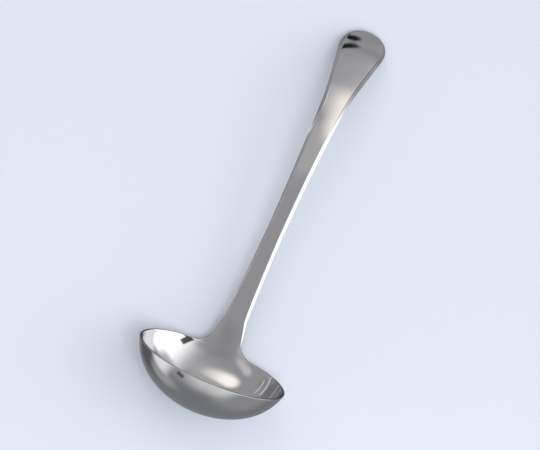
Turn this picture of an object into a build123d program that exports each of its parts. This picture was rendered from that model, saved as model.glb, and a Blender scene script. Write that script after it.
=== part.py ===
from build123d import *
import os
from math import acos, asin, atan2, cos, degrees, hypot, radians, sin, sqrt, tan

os.makedirs("parts", exist_ok=True)

# A soup ladle lying on its back, as it is put down on a table. The oval bowl is drawn from
# sheet, the handle is forged from thicker bar, and a weld dressed flush joins them at the neck.
# Lengths are in millimetres and angles in degrees.

# Bowl
bowl_width = 98.0
bowl_reach = 76.0
bowl_depth = 31.5
wall = 1.5
rim_draft = 5.8
lip_round = 0.45

# Neck, where the rim sweeps up into the handle
neck_foot_width = 22.2
neck_width = 14.2
neck_rise = 20.0
neck_thickness = 2.8
shoulder_radius = 10.0
weld_length = 1.6

# Handle, followed along its front face from the neck
shank_run = 96.0
bend_run = 72.0
palm_run = 32.0
crease_run = 10.0
end_run = 11.0
shank_angle = 65.5
palm_angle = 30.0
end_angle = 18.0
shank_thickness = 3.2
palm_thickness = 2.6
tip_thickness = 2.2

# Handle outline, from the weld by way of the waist to the rounded tip
collar_width = 12.4
collar_share = 0.3
waist_width = 10.6
waist_share = 0.65
shank_end_width = 11.8
bend_middle_width = 14.0
bend_end_width = 19.4
palm_width = 28.6
arch_length = 18.0
front_bevel = 1.1
back_round = 0.6

# Every cut runs past what it cuts by this much
overrun = 5.0


def step(angle, length=1):
    """A step in the side view, at an angle from the rim's plane."""
    return Vector(length * cos(radians(angle)), length * sin(radians(angle)))


def wall_oval(half_reach, depth):
    """Centre height and half axes of the oval that the bowl's wall follows below the rim."""
    lean_in = tan(radians(rim_draft))
    centre_height = depth**2 * lean_in / (half_reach - 2 * depth * lean_in)
    tall = depth + centre_height
    wide = half_reach / sqrt(1 - (centre_height / tall) ** 2)
    return centre_height, wide, tall


# Front line of the handle in the side view, across from the bowl's centre and up from its rim
# It leaves the rim along the bowl's inner wall, runs straight as the shank, bends back into
# the palm, and dips once more in a short crease before the tip.
inner_half = bowl_reach / 2 - wall
wall_angle = 90 - rim_draft
neck_run = neck_rise + weld_length
neck_turn = wall_angle - shank_angle
neck_radius = neck_run / radians(neck_turn)
bend_turn = shank_angle - palm_angle
crease_turn = palm_angle - end_angle
with BuildLine() as front_line:
    neck_arc = JernArc((inner_half, 0), step(wall_angle), neck_radius, -neck_turn)
    shank = Line(neck_arc @ 1, neck_arc @ 1 + step(shank_angle, shank_run))
    bend = JernArc(shank @ 1, shank % 1, bend_run / radians(bend_turn), -bend_turn)
    palm = Line(bend @ 1, bend @ 1 + step(palm_angle, palm_run))
    crease = JernArc(palm @ 1, palm % 1, crease_run / radians(crease_turn), -crease_turn)
    Line(crease @ 1, crease @ 1 + step(end_angle, end_run))
front = front_line.wires()[0]
tip_run = front.length
shank_end = neck_run + shank_run
bend_end = shank_end + bend_run
palm_end = bend_end + palm_run


def front_point(run):
    """Point of the front line at this distance from the rim."""
    return front @ (run / tip_run)


def back_point(run, thickness):
    """Point at the back of this thickness, square to the front line."""
    heading = front % (run / tip_run)
    return front_point(run) + Vector(heading.Y, -heading.X) * thickness


def square_plane(run):
    """Plane across the handle at this distance from the rim, facing the tip."""
    place = front_point(run)
    heading = front % (run / tip_run)
    return Plane(origin=(0, place.X, place.Y), x_dir=(1, 0, 0), z_dir=(0, heading.X, heading.Y))


bowl_end = square_plane(neck_rise)
handle_start = square_plane(neck_run)

# Hollow
# The space inside the bowl, carried on up the hollow front of the neck. It is revolved and
# then stretched sideways into an oval.
inner_depth = bowl_depth - wall
centre_height, wide, tall = wall_oval(inner_half, inner_depth)
with BuildPart() as hollow:
    with BuildSketch(Plane.YZ):
        with BuildLine():
            rim_turn = degrees(asin(centre_height / tall))
            oval = EllipticalCenterArc((0, centre_height), wide, tall, 270, arc_size=90 - rim_turn)
            arc = JernArc(oval @ 1, step(wall_angle), neck_radius, -neck_turn)
            rise = Line(arc @ 1, arc @ 1 + step(shank_angle, 2 * overrun))
            Polyline(rise @ 1, (0, (rise @ 1).Y), oval @ 0)
        make_face()
    revolve(axis=Axis.Z)
    scale(by=((bowl_width / 2 - wall) / inner_half, 1, 1))

# Waste
# What stands above the rim beside and in front of the neck. Seen from the front, its two lower
# corners are rounded, which leaves the shoulders as fillets.
weld_height = front_point(neck_rise).Y
waste_top = weld_height + overrun
waste_side = bowl_width + bowl_reach
neck_foot = (neck_foot_width / 2, 0)
neck_slope = (neck_width - neck_foot_width) / 2 / weld_height
neck_top = (neck_foot_width / 2 + neck_slope * waste_top, waste_top)
with BuildPart() as waste:
    with BuildSketch(Plane.XZ):
        with BuildLine():
            FilletPolyline((waste_side, 0), neck_foot, neck_top, radius=shoulder_radius)
            Polyline(neck_top, (waste_side, waste_top), (waste_side, 0))
        make_face()
        mirror(about=Plane.YZ)
    extrude(amount=-waste_side)
    with BuildSketch(Plane.XZ):
        Rectangle(2 * waste_side, waste_top, align=(Align.CENTER, Align.MIN))
    extrude(amount=waste_side)

# Bowl
# A drawn cup whose back wall thickens into the neck, cut off at the rim and at the weld. The
# rim's edges are rounded.
centre_height, wide, tall = wall_oval(bowl_reach / 2, bowl_depth)
with BuildPart() as cup:
    with BuildSketch(Plane.YZ):
        with BuildLine():
            rim_turn = degrees(asin(centre_height / tall))
            oval = EllipticalCenterArc((0, centre_height), wide, tall, 270, arc_size=90 - rim_turn)
            neck_back = Spline(
                (oval @ 1, back_point(neck_run, neck_thickness)),
                tangents=(step(wall_angle), step(shank_angle)),
            )
            Polyline(neck_back @ 1, (0, (neck_back @ 1).Y), oval @ 0)
        make_face()
    revolve(axis=Axis.Z)
    scale(by=(bowl_width / bowl_reach, 1, 1))
    add(hollow.part, mode=Mode.SUBTRACT)
    add(waste.part, mode=Mode.SUBTRACT)
    split(bisect_by=bowl_end, keep=Keep.BOTTOM)
    rim_faces = cup.faces().filter_by(Plane.XY)
    fillet(rim_faces.edges().filter_by(GeomType.LINE, reverse=True), lip_round)

# Handle
# The side view is pressed to shape and the outline is cut square to the tip's face. The front
# edges are bevelled all round the tip, and the back edges are rounded for the hand.
tip_face = Plane(
    origin=(0, *tuple(front_point(tip_run))[:2]),
    x_dir=(1, 0, 0),
    z_dir=(0, -sin(radians(end_angle)), cos(radians(end_angle))),
)


def outline_point(width, run):
    """Point of the outline, seen square to the tip's face, with half this width."""
    place = front_point(run)
    return Vector(width / 2, tip_face.to_local_coords(Vector(0, place.X, place.Y)).Y)


neck_corner = outline_point(neck_width, neck_rise)
collar_corner = outline_point(collar_width, shank_end * collar_share)
widest_corner = Vector(palm_width / 2, -arch_length)


with BuildPart() as forging:
    with BuildSketch(Plane.YZ.offset(-palm_width)):
        with BuildLine():
            add(front_line.line)
            back = Spline(
                back_point(0, neck_thickness),
                back_point(neck_run, neck_thickness),
                back_point(shank_end * waist_share, shank_thickness),
                back_point(shank_end, shank_thickness),
                back_point(bend_end, palm_thickness),
                back_point(palm_end, palm_thickness),
                back_point(tip_run, tip_thickness),
                tangents=(front % 0, front % 1),
                tangent_scalars=(1, 1),
            )
            Line(front_point(0), back @ 0)
            Line(front_point(tip_run), back @ 1)
        make_face()
    extrude(amount=2 * palm_width)
    with BuildSketch(tip_face.offset(-tip_run)):
        with BuildLine():
            side = Spline(
                neck_corner,
                collar_corner,
                outline_point(waist_width, shank_end * waist_share),
                outline_point(shank_end_width, shank_end),
                outline_point(bend_middle_width, (shank_end + bend_end) / 2),
                outline_point(bend_end_width, bend_end),
                widest_corner,
                tangents=(collar_corner - neck_corner, (0, 1)),
                tangent_scalars=(1, 1),
            )
            arch = EllipticalCenterArc((0, -arch_length), palm_width / 2, arch_length, 0, arc_size=90)
            Polyline(arch @ 1, (0, (side @ 0).Y), side @ 0)
        make_face()
        mirror(about=Plane.YZ)
    extrude(amount=2 * tip_run, mode=Mode.INTERSECT)
    split(bisect_by=handle_start, keep=Keep.TOP)
    front_faces = forging.faces().filter_by(GeomType.EXTRUSION, reverse=True).sort_by(Axis.Z)[1:]
    chamfer(front_faces.edges().filter_by(GeomType.LINE, reverse=True), front_bevel)
    back_face = forging.faces().filter_by(GeomType.EXTRUSION).sort_by(lambda face: face.area)[-1]
    fillet(back_face.edges().sort_by(Axis.Z)[1:], back_round)

# Weld
# The bead fills the neck from the bowl's stub to the foot of the handle, ground to both.
with BuildPart() as bead:
    loft(
        [
            cup.faces().filter_by(bowl_end).sort_by(Axis.Z)[-1],
            forging.faces().filter_by(handle_start).sort_by(Axis.Z)[0],
        ]
    )

# Rest on the table
# The ladle lies on the back of its bowl and the heel of its tip. With the bowl's oval squeezed
# to a unit circle, the table's line is the tangent from the heel to that circle.
heel = back_point(tip_run, tip_thickness)
heel_across = heel.X / wide
heel_up = (heel.Y - centre_height) / tall
touch = atan2(heel_up, heel_across) - acos(1 / hypot(heel_across, heel_up))
touch_point = Vector(wide * cos(touch), centre_height + tall * sin(touch))
table_angle = degrees(atan2(heel.Y - touch_point.Y, heel.X - touch_point.X))
laid_down = Rot(-table_angle, 0, 0)
laid_box = Compound([cup.part, bead.part, forging.part]).moved(laid_down).bounding_box()
on_table = Pos(0, -laid_box.center().Y, -laid_box.min.Z) * laid_down

with BuildPart() as bowl:
    add(cup.part.moved(on_table))
bowl.part.label = "bowl"
export_step(bowl.part, "parts/bowl.step")

with BuildPart() as weld_seam:
    add(bead.part.moved(on_table))
weld_seam.part.label = "weld_seam"
export_step(weld_seam.part, "parts/weld_seam.step")

with BuildPart() as handle:
    add(forging.part.moved(on_table))
handle.part.label = "handle"
export_step(handle.part, "parts/handle.step")

whole = Compound([bowl.part, weld_seam.part, handle.part]).bounding_box()
print(f"length {whole.size.Y:.1f}, width {whole.size.X:.1f}, height {whole.size.Z:.1f} mm")
print(f"table at {table_angle:.2f} degrees to the rim")
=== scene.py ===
# %% [markdown]
# # A polished soup ladle
#
# This notebook dresses a packed ladle for its picture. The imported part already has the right
# size and place, in three solids: the bowl, the weld and the handle. Here each of them gets a
# finer surface that is worked out with numpy, a polished steel finish, and a small studio.
# Lengths are named in millimetres and become metres when a mesh is made.

import bmesh
import bpy
import numpy as np
from mathutils import Matrix, Quaternion, Vector


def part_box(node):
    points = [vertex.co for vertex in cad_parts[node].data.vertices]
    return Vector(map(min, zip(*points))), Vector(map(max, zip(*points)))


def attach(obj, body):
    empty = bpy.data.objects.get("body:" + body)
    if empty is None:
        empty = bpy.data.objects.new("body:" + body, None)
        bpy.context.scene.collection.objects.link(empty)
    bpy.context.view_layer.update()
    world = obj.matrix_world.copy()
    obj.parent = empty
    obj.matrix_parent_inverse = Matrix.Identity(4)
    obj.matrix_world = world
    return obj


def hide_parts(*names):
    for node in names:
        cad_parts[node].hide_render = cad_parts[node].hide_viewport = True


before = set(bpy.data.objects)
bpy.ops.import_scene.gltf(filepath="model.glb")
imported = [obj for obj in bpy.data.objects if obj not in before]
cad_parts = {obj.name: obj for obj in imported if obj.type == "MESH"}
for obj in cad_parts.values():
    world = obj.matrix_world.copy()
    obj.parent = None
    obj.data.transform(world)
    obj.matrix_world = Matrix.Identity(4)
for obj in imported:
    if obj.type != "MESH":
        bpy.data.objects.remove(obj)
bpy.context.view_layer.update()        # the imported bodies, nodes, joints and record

MM = 0.001
print("solids in the frame:", ", ".join(sorted(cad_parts)))

# %% [markdown]
# ## The side view
#
# Seen from the side, a ladle is one long line. It starts at the bottom of the bowl, climbs the
# bowl's wall to the rim, goes on up the neck, runs straight along the shank, and bends back
# into the palm where the hand holds it. A smith would bend it over a former, so its direction
# changes gradually. The line could be drawn with arcs, as the solids are, but where an arc
# meets a straight, a mirror finish shows a jump. So the direction is written as a few angles
# along the line, smoothed, and then summed up step by step into a curve.

# %% Sizes in the side view
BOWL_REACH = 76.0       # rim to rim, along the handle's direction
BOWL_WIDTH = 97.2       # rim to rim, across
BOWL_DEPTH = 31.5
WALL = 1.5
RIM_DRAFT = 5.8         # degrees that the wall leans outwards at the rim

NECK_RUN = 21.6         # the runs are lengths along the front of the handle
SHANK_RUN = 96.0
BEND_RUN = 72.0
PALM_RUN = 28.0
CREASE_RUN = 10.0
END_RUN = 15.0
SHANK_ANGLE = 65.5      # degrees from the rim's plane
PALM_ANGLE = 30.0
CREASE_ANGLE = 17.5
END_ANGLE = 23.0

SHANK_END = NECK_RUN + SHANK_RUN
BEND_END = SHANK_END + BEND_RUN
PALM_END = BEND_END + PALM_RUN
CREASE_END = PALM_END + CREASE_RUN
TIP_RUN = CREASE_END + END_RUN
WAIST_RUN = 76.0        # from the rim to the slimmest place
print("handle from the rim to the tip:", round(TIP_RUN, 1), "mm")

# %% A helper for values that change gradually
FINE = 0.2              # step of every curve that is summed up


def eased(places, values, window):
    """A value along the ladle: straight lines through the given ones, then at each place the
    average over a window, weighted by a raised cosine. Past the ends the line is continued
    point-symmetrically, so the end values stay."""
    grid = np.arange(places[0], places[-1] + FINE, FINE)
    line = np.interp(grid, places, values)
    half = int(window / 2 / FINE)
    before = 2 * line[0] - line[half:0:-1]
    after = 2 * line[-1] - line[-2:-half - 2:-1]
    bell = 1 + np.cos(np.linspace(-np.pi, np.pi, 2 * half + 1))
    soft = np.convolve(np.concatenate([before, line, after]), bell / bell.sum(), "valid")
    return lambda where: np.interp(where, grid, soft)


corner = eased([0, 5, 10], [0, 1, 0], window=4.0)
print("a corner of height 1, eased over 4 mm, keeps", round(float(corner(5)), 2))

# %% The bowl's oval
OVAL_STEPS = 2000


def wall_oval(half_reach, depth):
    """Centre height and half axes of the upright oval that a wall follows below the rim. The
    oval is as deep as the wall and leans out by the draft at the half reach, so
    centre = depth**2 * lean / (half reach - 2 * depth * lean), tall = depth + centre and
    wide = half reach / sqrt(1 - (centre / tall)**2), where lean is the draft's slope."""
    lean = np.tan(np.radians(RIM_DRAFT))
    centre = depth**2 * lean / (half_reach - 2 * depth * lean)
    tall = depth + centre
    return centre, half_reach / np.sqrt(1 - (centre / tall) ** 2), tall


inner_half = BOWL_REACH / 2 - WALL
oval_centre, oval_wide, oval_tall = wall_oval(inner_half, BOWL_DEPTH - WALL)
oval_turn = np.linspace(-np.pi / 2, -np.arcsin(oval_centre / oval_tall), OVAL_STEPS)
oval_step = np.hypot(oval_wide * np.sin(oval_turn), oval_tall * np.cos(oval_turn))
oval_length = np.concatenate([[0], np.cumsum((oval_step[1:] + oval_step[:-1]) / 2)])
oval_length *= oval_turn[1] - oval_turn[0]
oval_heading = np.arctan2(oval_tall * np.cos(oval_turn), -oval_wide * np.sin(oval_turn))
RIM = oval_length[-1]   # every place is a length along the side line, and this is the rim's
print("bowl wall from the bottom to the rim:", round(RIM, 1), "mm")

# %% The whole side line
places = np.arange(0, RIM + TIP_RUN + FINE, FINE)
handle_stops = RIM + np.array([0, NECK_RUN, SHANK_END, BEND_END, PALM_END, CREASE_END, TIP_RUN])
handle_turns = np.radians(
    [90 - RIM_DRAFT, SHANK_ANGLE, SHANK_ANGLE, PALM_ANGLE, PALM_ANGLE, CREASE_ANGLE, END_ANGLE]
)
rough_heading = np.interp(
    places,
    np.concatenate([oval_length[:-1], handle_stops]),
    np.concatenate([oval_heading[:-1], handle_turns]),
)
heading_at = eased(places, rough_heading, window=9.0)
headings = heading_at(places)
middle = (headings[1:] + headings[:-1]) / 2
line_across = np.concatenate([[0], np.cumsum(np.cos(middle) * FINE)])
line_up = np.concatenate([[0], np.cumsum(np.sin(middle) * FINE)])
line_up -= np.interp(RIM, places, line_up)
print("the line is", round(line_across[-1], 1), "mm across and", round(line_up[-1], 1), "mm up")

# %% The thickness, and any point of the side view
THICK_STOPS = [0, RIM, RIM + NECK_RUN, RIM + WAIST_RUN, RIM + SHANK_END, RIM + BEND_END,
               RIM + PALM_END, RIM + TIP_RUN]
THICKNESSES = [WALL, WALL, 2.8, 3.2, 3.2, 2.6, 2.6, 2.2]
thickness_at = eased(THICK_STOPS, THICKNESSES, window=16.0)


def side_point(place, share):
    """Side view at a place along the line, from the front surface (share 0) to the back one
    (share 1): the point on the line plus that share of the thickness, square to the line."""
    heading = heading_at(place)
    depth = share * thickness_at(place)
    across = np.interp(place, places, line_across) + depth * np.sin(heading)
    up = np.interp(place, places, line_up) - depth * np.cos(heading)
    return across, up


rim_radius = side_point(RIM, 0)[0]
print("inner rim", round(float(rim_radius), 2), "mm from the bowl's centre")

# %% [markdown]
# ## The front view
#
# Seen from the front, the handle has a broad foot on the bowl, a slim waist that keeps it
# light, and a palm that lies well in the hand. The outline is cut and ground by eye, with no
# corner from end to end. A spline through a few points would do, but it swings past them. So
# the half widths are listed along the handle, joined by straight lines and eased, which never
# gives a width that isn't between its neighbours.

# %% Sizes in the front view
NECK_FOOT = 23.0        # width where the neck's sides would meet the rim
NECK_WIDTH = 14.8       # width at the weld
NECK_RISE = 20.0        # from the rim to the weld
SHOULDER_RADIUS = 10.0
PALM_WIDTH = 29.6
ARCH_LENGTH = 18.4      # of the rounded tip
WIDEST = TIP_RUN - ARCH_LENGTH
WIDTH_STOPS = [NECK_RISE, 35, 50, WAIST_RUN, 98, SHANK_END, 140, 160, 176, BEND_END, 205,
               WIDEST - 5, WIDEST, TIP_RUN]
HALF_WIDTHS = [NECK_WIDTH / 2, 6.65, 6.15, 5.55, 5.7, 6.05, 6.7, 7.5, 8.5, 10.05, 12.2,
               14.4, PALM_WIDTH / 2, PALM_WIDTH / 2]
half_width_at = eased(WIDTH_STOPS, HALF_WIDTHS, window=18.0)
for name, run in (("waist", WAIST_RUN), ("palm", WIDEST)):
    print(name, round(float(2 * half_width_at(run)), 1), "mm wide")

# %% [markdown]
# ## The front face
#
# The face of a forged handle isn't quite flat. Its middle stands a few tenths of a millimetre
# above its sides, and at the tip it is pressed into a shallow dimple on the left. The hand
# hardly feels them, but in a mirror finish the crown draws the reflections across the handle,
# and the dimple bends them into dark wedges. Both could be painted as bumps in the material,
# and the exported mesh would then be flat. So they are a height above the side line instead.

# %% The front face of the handle
FACE_CROWN = 0.36       # how far the middle of the palm stands above its sides
TIP_CROWN = 0.85
CROWN_STOPS = [0, RIM + 24, RIM + 60, RIM + SHANK_END, RIM + BEND_END, RIM + PALM_END - 8,
               RIM + CREASE_END, RIM + TIP_RUN]
CROWNS = [0, 0, 0.10, 0.24, FACE_CROWN, FACE_CROWN, TIP_CROWN, TIP_CROWN]
crown_at = eased(CROWN_STOPS, CROWNS, window=12.0)

DENT_DEPTH = 1.4
DENT_MIDDLE = RIM + 226.0
DENT_REACH = 17.0
DENT_FADE = 1.5         # power by which the dimple gets shallower from left to right
DENT_LOST = 0.5         # share of its depth that doesn't come through to the back


def relief(place, side):
    """Height of the front face above the side line: a crown that falls to nothing at the
    outline, crown * (1 - (side / half width)**2)."""
    half = half_width_at(place - RIM)
    return crown_at(place) * (1 - np.minimum(np.abs(side) / half, 1) ** 2)


def tip_dent(place, side):
    """How far the tip is pressed back: a cosine bell along the handle, deepest at the left
    side of the palm and nothing at its right side."""
    along = np.minimum(np.abs(place - DENT_MIDDLE) / DENT_REACH, 1)
    leftward = np.clip(0.5 - side / PALM_WIDTH, 0, 1) ** DENT_FADE
    return DENT_DEPTH * leftward * (1 + np.cos(np.pi * along)) / 2


left_dent = tip_dent(DENT_MIDDLE, -PALM_WIDTH / 4)
print("halfway to the left the dimple is", round(float(left_dent), 2), "mm deep")

# %% [markdown]
# ## From side view to surface
#
# The bowl is the side line turned about the bowl's axis and then stretched sideways, because
# it is wider than it is long. A pressed bowl departs from that in two ways. Its sides lean in
# a little more than its back, and behind the neck the wall is drawn in, so that bowl and neck
# flow into each other. The neck starts as part of the turned surface and becomes flat across
# within a few centimetres, as sheet does when it is drawn over into a strap. It could all be
# sculpted, but a formula gives any point, and the inside and the outside stay a wall apart.

# %% How the bowl departs from a turned surface
FLARE_TURN = 52.0       # degrees to each side over which the neck flares into the bowl
FLARE_STOPS = [-RIM, -44, -34, -24, -16, -10, -5, 0, 5, 10, 16, NECK_RUN, TIP_RUN]
FLARE_DEPTHS = [0, 0.6, 1.9, 3.0, 3.5, 3.4, 2.9, 2.15, 1.3, 0.65, 0.15, 0, 0]
flare_at = eased(RIM + np.array(FLARE_STOPS), FLARE_DEPTHS, window=8.0)

STRETCH_IN = (BOWL_WIDTH / 2 - WALL) / inner_half
STRETCH_OUT = BOWL_WIDTH / BOWL_REACH
SIDE_DRAFT = 0.022      # share by which the bowl's sides draw in below the rim
DRAFT_REACH = 9.0


def flare(place, turn):
    """How far the neck's flare draws the wall in: most behind the neck, and nothing from the
    flare's turn on, as 1 + cos of the share of that turn."""
    turn = (np.asarray(turn) + np.pi) % (2 * np.pi) - np.pi
    share = np.minimum(np.abs(turn) / np.radians(FLARE_TURN), 1)
    return flare_at(place) * (1 + np.cos(np.pi * share)) / 2


def stretch_at(place, share):
    """How much wider than long the bowl is: less below the rim, where the sides draw in, as
    1 - draft * (1 - exp(-depth / reach))."""
    below = np.maximum(RIM - place, 0)
    drawn_in = SIDE_DRAFT * (1 - np.exp(-below / DRAFT_REACH))
    return (STRETCH_IN + share * (STRETCH_OUT - STRETCH_IN)) * (1 - drawn_in)


print("behind the neck the rim is drawn in by", round(float(flare(RIM, 0)), 2), "mm")

# %% Points on the bowl and on the handle
roundness_at = eased([0, RIM + 4, RIM + 44, RIM + TIP_RUN], [1, 1, 0, 0], window=16.0)


def bowl_point(place, turn, share):
    """Turned surface: x = stretch * radius * sin(turn), y = radius * cos(turn), z = height,
    with radius and height from the side view, less the flare. Turn 0 faces the handle."""
    radius, height = side_point(place, share)
    radius = radius - flare(place, turn)
    x = stretch_at(place, share) * radius * np.sin(turn)
    return np.stack(np.broadcast_arrays(x, radius * np.cos(turn), height), -1)


def blade_point(place, side, share, radial=0.0):
    """Strap: x = side, y = radius less what the turned surface falls back at that side, times
    a roundness that fades along the neck. Radial 1 spreads the back as the turned bowl does."""
    dent = (1 - DENT_LOST * share) * tip_dent(place, side)
    raised = (1 - share) * relief(place, side) - dent
    radius, height = side_point(place, share - raised / thickness_at(place))
    front_radius = side_point(place, 0)[0]
    stretch = stretch_at(place, share)
    x = side * (1 + radial * (stretch * radius / (STRETCH_IN * front_radius) - 1))
    turn = np.arcsin(np.clip(x / stretch / radius, -1, 1))
    drawn_in = flare(place, turn)
    roundness = roundness_at(place)
    x = x * (1 - roundness * drawn_in / radius)
    y = radius - roundness * radius * (1 - np.cos(turn)) - drawn_in * np.cos(turn)
    return np.stack(np.broadcast_arrays(x, y, height), -1)


falls_back = blade_point(RIM, 0, 0)[1] - blade_point(RIM, 10, 0)[1]
print("10 mm to the side the neck falls back by", round(float(falls_back), 2), "mm")

# %% [markdown]
# ## Laying it on the table
#
# The shapes are worked out with the rim level, and then the ladle is laid on its back, where
# the bowl and the heel of the tip touch the table. It could be turned by trial until nothing
# sinks in, but the line of the table is the tangent from the heel to the bowl's outer oval,
# which has a closed form: squeeze the oval to a circle, and the tangent's angle is that of a
# point seen from a circle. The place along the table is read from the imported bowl, so the
# picture and the solids can't drift apart.

# %% Lay-down
outer_centre, outer_wide, outer_tall = wall_oval(BOWL_REACH / 2, BOWL_DEPTH)
heel = side_point(RIM + TIP_RUN, 1)
heel_far, heel_high = heel[0] / outer_wide, (heel[1] - outer_centre) / outer_tall
touch = np.arctan2(heel_high, heel_far) - np.arccos(1 / np.hypot(heel_far, heel_high))
touch_point = outer_wide * np.cos(touch), outer_centre + outer_tall * np.sin(touch)
table_angle = np.arctan2(heel[1] - touch_point[1], heel[0] - touch_point[0])
oval_reach = np.hypot(outer_wide * np.cos(table_angle), outer_tall * np.sin(table_angle))
lowest_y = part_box("bowl")[0].y / MM
shift_y = lowest_y + oval_reach - outer_centre * np.sin(table_angle)
shift_z = touch_point[0] * np.sin(table_angle) - touch_point[1] * np.cos(table_angle)


def lay_down(points):
    """Turns points back by the table's angle about X, and shifts them onto the table."""
    x, y, z = np.moveaxis(points, -1, 0)
    row_y = y * np.cos(table_angle) + z * np.sin(table_angle) + shift_y
    row_z = z * np.cos(table_angle) - y * np.sin(table_angle) + shift_z
    return np.stack([x, row_y, row_z], -1)


print("table", round(float(np.degrees(table_angle)), 3), "degrees from the rim's plane")
print("shifted by", round(float(shift_y), 2), "and", round(float(shift_z), 2), "mm")

# %% [markdown]
# ## The outline
#
# Seen from the front, the rim runs level and turns up into the neck through two round
# shoulders. From there the sides run in to the waist and out again to the broad palm, and a
# rounded arch closes the tip. The shoulders could be cut out of a larger surface, but a cut
# leaves ragged faces, which a mirror finish shows. So their outline is worked out first, and
# the grid is fitted to it. Every point of the outline also carries a direction towards the
# metal: the bevel, the rim's rounding and the back's rounding are measured that way.

# %% Outline of the neck and its shoulders
FILLET_POINTS = 30
STRAIGHT_POINTS = 22
weld_height = side_point(RIM + NECK_RISE, 0)[1]
neck_slope = (NECK_FOOT - NECK_WIDTH) / 2 / weld_height
fillet_turn = np.pi / 2 - np.arctan(neck_slope)
shoulder_side = NECK_FOOT / 2 + SHOULDER_RADIUS * np.tan(fillet_turn / 2)
fillet_angle = -np.pi / 2 - np.linspace(0, 1, FILLET_POINTS) * fillet_turn
fillet_side = shoulder_side + SHOULDER_RADIUS * np.cos(fillet_angle)
fillet_up = SHOULDER_RADIUS + SHOULDER_RADIUS * np.sin(fillet_angle)
straight_up = np.linspace(fillet_up[-1], weld_height, STRAIGHT_POINTS)[1:]
neck_side = np.concatenate([fillet_side, NECK_FOOT / 2 - neck_slope * straight_up])
neck_up = np.concatenate([fillet_up, straight_up])

# Direction towards the metal: square to the shoulder, and straight sideways from halfway up
inward_angle = np.concatenate([fillet_angle, np.full(len(straight_up), fillet_angle[-1])])
sideways = np.clip((neck_up - fillet_up[-1]) / (weld_height - fillet_up[-1]) * 2, 0, 1)
inward_angle += (-np.pi - inward_angle) * sideways**2 * (3 - 2 * sideways)
inward = np.stack([np.cos(inward_angle), np.sin(inward_angle)], -1)
print("shoulders meet the rim", round(float(shoulder_side), 1), "mm to each side")

# %% [markdown]
# ## The edge
#
# All round the ladle the front and back surfaces are joined by an edge. At the rim it is the
# rounded edge of thin sheet. Up the neck the front half of that rounding opens into a broad
# bevel, which a polisher grinds along both sides of the handle and round the tip. The buffing
# wheel rounds the ridge where the bevel meets the face, and there it catches a thin line of
# light. A Bevel modifier would give one width everywhere. So the edge is a profile carried
# along the outline, and its front part blends from a quarter circle to a bevel.

# %% How wide, deep and round the edge is
LIP = 0.18              # rounding of the rim
BACK_ROUND = 0.9
RIDGE = 0.19            # how much of the bevel's width its softened ridge takes
ARC_STEPS = 6
WIDE_STOPS = RIM + np.array([-10, 5, 24, 110, 160, BEND_END, WIDEST, TIP_RUN])
bevel_width_at = eased(WIDE_STOPS, [LIP, LIP, 1.9, 2.1, 2.2, 2.5, 2.8, 1.5], window=10.0)
DEEP_STOPS = RIM + np.array([-10, 5, 24, 110, 160, WIDEST, TIP_RUN])
bevel_depth_at = eased(DEEP_STOPS, [LIP, LIP, 1.1, 1.2, 1.5, 1.5, 0.9], window=10.0)
bevel_round_at = eased(RIM + np.array([-10, 4, 9, TIP_RUN]), [1, 1, 0, 0], window=4.0)
back_round_at = eased(
    RIM + np.array([-10, 4, 24, TIP_RUN]), [LIP, LIP, BACK_ROUND, BACK_ROUND], window=6.0
)
print("bevel at the waist:", round(float(bevel_width_at(RIM + WAIST_RUN)), 2), "mm wide")


# %% The edge's profile
def edge_profile(place):
    """For each place, the profile's points from front to back: how far in from the outline,
    and which share of the thickness. The front part is a bevel or a quarter circle, or a
    blend of both by the bevel's roundness, and the back part is a quarter circle. Over its
    width s, from 0 to 1, the bevel's depth is sqrt(s**2 + RIDGE**2) - RIDGE, brought to 1 at
    the end, so it leaves the face without a crease, as a polished ridge does."""
    place = np.asarray(place)[..., None]
    steps = np.linspace(0, 1, ARC_STEPS + 1)
    sine, cosine = np.sin(steps * np.pi / 2), np.cos(steps * np.pi / 2)
    width, depth, curved = bevel_width_at(place), bevel_depth_at(place), bevel_round_at(place)
    back, thick = back_round_at(place), thickness_at(place)
    settle = steps**2
    dip = (np.sqrt(settle**2 + RIDGE**2) - RIDGE) / (np.sqrt(1 + RIDGE**2) - RIDGE)
    front_in = width * ((1 - curved) * (1 - settle) + curved * (1 - sine))
    front_deep = depth * ((1 - curved) * dip + curved * (1 - cosine))
    inset = np.concatenate([front_in, back * (1 - cosine)], -1)
    deep = np.concatenate([front_deep, thick - back + back * sine], -1)
    return inset, deep / thick


print("points in the profile:", edge_profile(RIM)[0].shape[-1])

# %% [markdown]
# ## Making a mesh
#
# A mesh in Blender is a list of points and a list of faces that name them. The surfaces come
# from several grids, and each would number its points from 0. So one helper keeps all points
# of a piece and hands out their numbers, and another puts the finished lists into a mesh at
# once, which is far faster than adding faces one by one. Each point also carries its place on
# the unrolled sheet and whether it lies on an edge, for the finishes.

# %% Helpers that make the meshes
DOUBLES = 1e-7          # metres within which two points are one
NARROWEST = 1e-8        # metres below which a side counts as nothing
SHARP_ANGLE = 28.0      # degrees from which an edge is shaded as a crease
kept_points = {}


def add_points(piece, points, lay, edge=0.0):
    """Keeps points, their place on the unrolled sheet and whether they lie on an edge, and
    returns their numbers."""
    store = kept_points.setdefault(piece, {"points": [], "lay": [], "edge": [], "count": 0})
    flat = points.reshape(-1, 3)
    store["points"].append(flat)
    store["lay"].append(np.broadcast_to(lay, points.shape[:-1] + (2,)).reshape(-1, 2))
    store["edge"].append(np.broadcast_to(edge, points.shape[:-1]).ravel())
    numbers = store["count"] + np.arange(len(flat)).reshape(points.shape[:-1])
    store["count"] += len(flat)
    return numbers


def quads(numbers):
    """Four-sided faces between the rows and columns of a grid of vertex numbers."""
    corners = numbers[:-1, :-1], numbers[:-1, 1:], numbers[1:, 1:], numbers[1:, :-1]
    return np.stack(corners, -1).reshape(-1, 4)


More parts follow.
